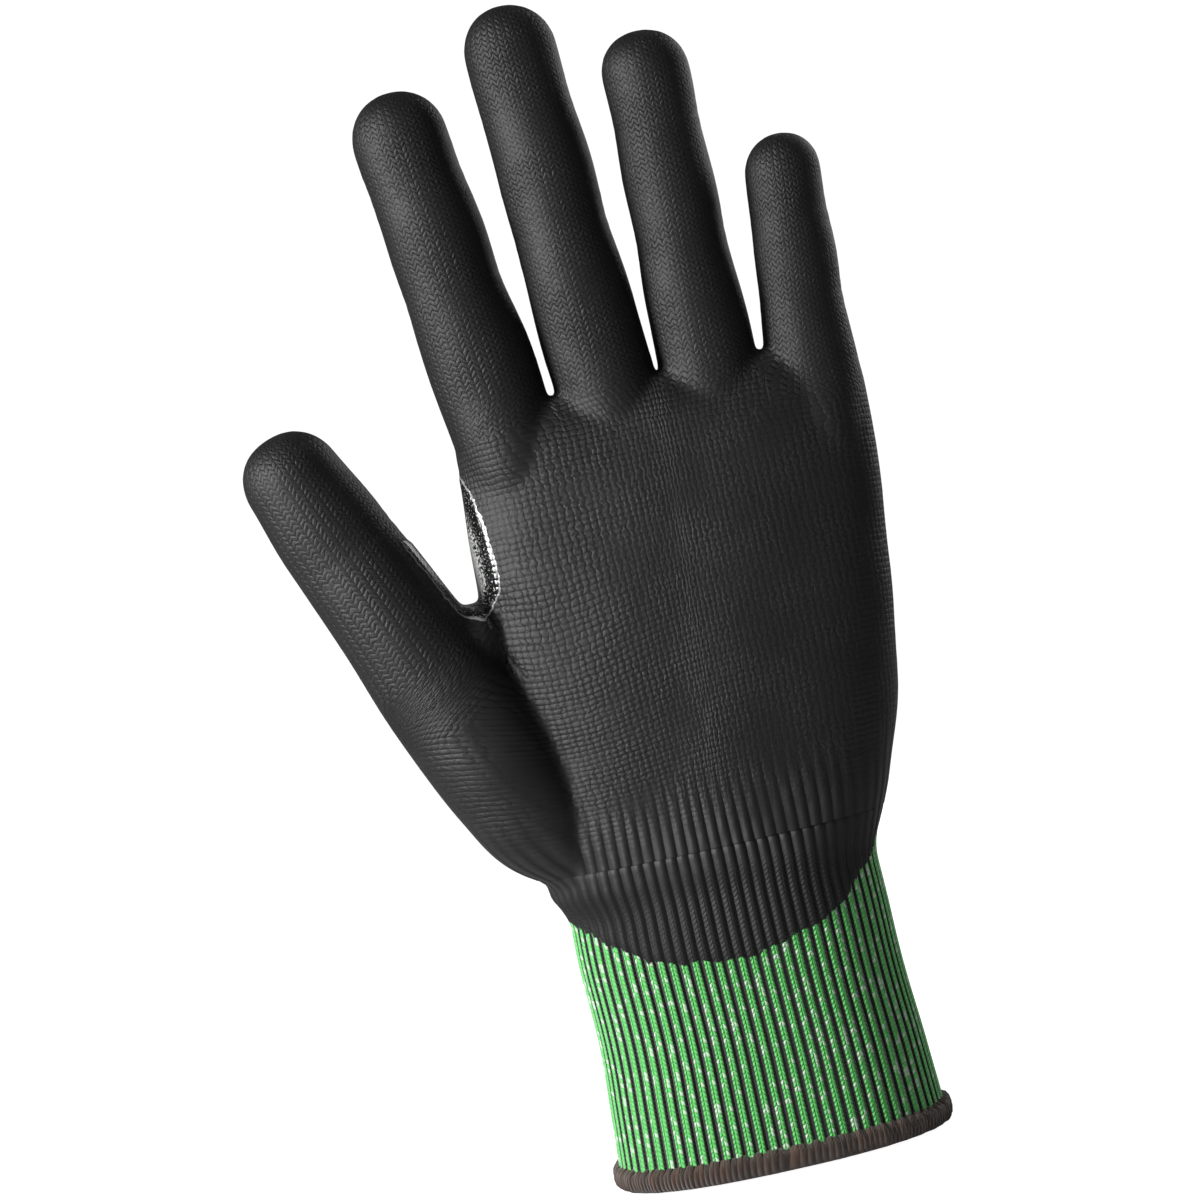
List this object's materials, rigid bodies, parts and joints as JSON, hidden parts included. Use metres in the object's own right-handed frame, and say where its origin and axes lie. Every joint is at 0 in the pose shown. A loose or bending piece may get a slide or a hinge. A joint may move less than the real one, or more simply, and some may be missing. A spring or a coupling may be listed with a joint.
{
  "type": "cut resistant work glove",
  "caption": "Left-hand knitted cut-resistant work glove with a dipped palm, ribbed elastic cuff and reinforced thumb crotch; fingers, thumb and wrist bend",
  "frame": {"origin": "centre of the cuff opening, in the plane of the hem's edge", "axes": "+Z from the cuff to the fingertips, palm faces -Y, thumb points to -X"},
  "size_m": [0.1294, 0.0464, 0.2432],
  "materials": {
    "liner": "soft knit",
    "coating": "matte dipped",
    "hem": "overlock thread",
    "elastic": "spun elastic yarn",
    "patch": "glossy print"
  },
  "bodies": {
    "cuff": {"cuff_rib": "liner", "overlock_hem": "hem", "elastic_yarn": "elastic", "wrist_fold": "liner"},
    "hand": {"palm_liner": "liner", "palm_coating": "coating", "crotch_patch": "patch", "thumb_base_fold": "liner", "index_knuckle_fold": "liner", "middle_knuckle_fold": "liner", "ring_knuckle_fold": "liner", "little_knuckle_fold": "liner"},
    "index_proximal": {"index_proximal_liner": "liner", "index_proximal_coating": "coating", "index_middle_joint_fold": "liner"},
    "index_middle": {"index_middle_liner": "liner", "index_middle_coating": "coating", "index_tip_joint_fold": "liner"},
    "index_distal": {"index_distal_liner": "liner", "index_distal_coating": "coating"},
    "middle_proximal": {"middle_proximal_liner": "liner", "middle_proximal_coating": "coating", "middle_middle_joint_fold": "liner"},
    "middle_middle": {"middle_middle_liner": "liner", "middle_middle_coating": "coating", "middle_tip_joint_fold": "liner"},
    "middle_distal": {"middle_distal_liner": "liner", "middle_distal_coating": "coating"},
    "ring_proximal": {"ring_proximal_liner": "liner", "ring_proximal_coating": "coating", "ring_middle_joint_fold": "liner"},
    "ring_middle": {"ring_middle_liner": "liner", "ring_middle_coating": "coating", "ring_tip_joint_fold": "liner"},
    "ring_distal": {"ring_distal_liner": "liner", "ring_distal_coating": "coating"},
    "little_proximal": {"little_proximal_liner": "liner", "little_proximal_coating": "coating", "little_middle_joint_fold": "liner"},
    "little_middle": {"little_middle_liner": "liner", "little_middle_coating": "coating", "little_tip_joint_fold": "liner"},
    "little_distal": {"little_distal_liner": "liner", "little_distal_coating": "coating"},
    "thumb_proximal": {"thumb_proximal_liner": "liner", "thumb_proximal_coating": "coating", "thumb_tip_joint_fold": "liner"},
    "thumb_distal": {"thumb_distal_liner": "liner", "thumb_distal_coating": "coating"}
  },
  "joints": [
    {"name": "wrist", "type": "hinge", "parent": "cuff", "child": "hand", "pos_m": [0, 0, 0.048], "axis": [1, 0, 0], "range_deg": [-40, 45], "stiffness_Nm_per_rad": 0.5, "deforming": ["wrist_fold"]},
    {"name": "index_knuckle", "type": "hinge", "parent": "hand", "child": "index_proximal", "pos_m": [-0.023, 0, 0.146], "axis": [0.9921, 0, 0.1253], "range_deg": [-10, 80], "stiffness_Nm_per_rad": 0.08, "deforming": ["index_knuckle_fold"]},
    {"name": "index_middle_joint", "type": "hinge", "parent": "index_proximal", "child": "index_middle", "pos_m": [-0.02826, 0, 0.18767], "axis": [0.9921, 0, 0.1253], "range_deg": [0, 85], "stiffness_Nm_per_rad": 0.04, "deforming": ["index_middle_joint_fold"]},
    {"name": "index_tip_joint", "type": "hinge", "parent": "index_middle", "child": "index_distal", "pos_m": [-0.03121, 0, 0.21098], "axis": [0.9921, 0, 0.1253], "range_deg": [0, 55], "stiffness_Nm_per_rad": 0.02, "deforming": ["index_tip_joint_fold"]},
    {"name": "middle_knuckle", "type": "hinge", "parent": "hand", "child": "middle_proximal", "pos_m": [-0.0012, 0, 0.15], "axis": [0.9981, 0, 0.061], "range_deg": [-10, 80], "stiffness_Nm_per_rad": 0.08, "deforming": ["middle_knuckle_fold"]},
    {"name": "middle_middle_joint", "type": "hinge", "parent": "middle_proximal", "child": "middle_middle", "pos_m": [-0.00395, 0, 0.19492], "axis": [0.9981, 0, 0.061], "range_deg": [0, 85], "stiffness_Nm_per_rad": 0.04, "deforming": ["middle_middle_joint_fold"]},
    {"name": "middle_tip_joint", "type": "hinge", "parent": "middle_middle", "child": "middle_distal", "pos_m": [-0.00553, 0, 0.22087], "axis": [0.9981, 0, 0.061], "range_deg": [0, 55], "stiffness_Nm_per_rad": 0.02, "deforming": ["middle_tip_joint_fold"]},
    {"name": "ring_knuckle", "type": "hinge", "parent": "hand", "child": "ring_proximal", "pos_m": [0.0196, 0, 0.147], "axis": [1, 0, -0.0052], "range_deg": [-10, 80], "stiffness_Nm_per_rad": 0.08, "deforming": ["ring_knuckle_fold"]},
    {"name": "ring_middle_joint", "type": "hinge", "parent": "ring_proximal", "child": "ring_middle", "pos_m": [0.01981, 0, 0.188], "axis": [1, 0, -0.0052], "range_deg": [0, 85], "stiffness_Nm_per_rad": 0.04, "deforming": ["ring_middle_joint_fold"]},
    {"name": "ring_tip_joint", "type": "hinge", "parent": "ring_middle", "child": "ring_distal", "pos_m": [0.01994, 0, 0.2125], "axis": [1, 0, -0.0052], "range_deg": [0, 55], "stiffness_Nm_per_rad": 0.02, "deforming": ["ring_tip_joint_fold"]},
    {"name": "little_knuckle", "type": "hinge", "parent": "hand", "child": "little_proximal", "pos_m": [0.0395, 0, 0.14], "axis": [0.9978, 0, -0.0663], "range_deg": [-10, 80], "stiffness_Nm_per_rad": 0.08, "deforming": ["little_knuckle_fold"]},
    {"name": "little_middle_joint", "type": "hinge", "parent": "little_proximal", "child": "little_middle", "pos_m": [0.04155, 0, 0.17093], "axis": [0.9978, 0, -0.0663], "range_deg": [0, 85], "stiffness_Nm_per_rad": 0.04, "deforming": ["little_middle_joint_fold"]},
    {"name": "little_tip_joint", "type": "hinge", "parent": "little_middle", "child": "little_distal", "pos_m": [0.04271, 0, 0.18839], "axis": [0.9978, 0, -0.0663], "range_deg": [0, 55], "stiffness_Nm_per_rad": 0.02, "deforming": ["little_tip_joint_fold"]},
    {"name": "thumb_base", "type": "hinge", "parent": "hand", "child": "thumb_proximal", "pos_m": [-0.0472, -0.006, 0.107], "axis": [0.897, 0.2079, 0.39], "range_deg": [-10, 45], "stiffness_Nm_per_rad": 0.1, "deforming": ["thumb_base_fold"]},
    {"name": "thumb_tip_joint", "type": "hinge", "parent": "thumb_proximal", "child": "thumb_distal", "pos_m": [-0.06096, -0.006, 0.13864], "axis": [0.897, 0.2079, 0.39], "range_deg": [0, 65], "stiffness_Nm_per_rad": 0.04, "deforming": ["thumb_tip_joint_fold"]}
  ],
  "couplings": [
    {"joint": "index_tip_joint", "follows": "index_middle_joint", "ratio": 0.64706},
    {"joint": "middle_tip_joint", "follows": "middle_middle_joint", "ratio": 0.64706},
    {"joint": "ring_tip_joint", "follows": "ring_middle_joint", "ratio": 0.64706},
    {"joint": "little_tip_joint", "follows": "little_middle_joint", "ratio": 0.64706}
  ]
}
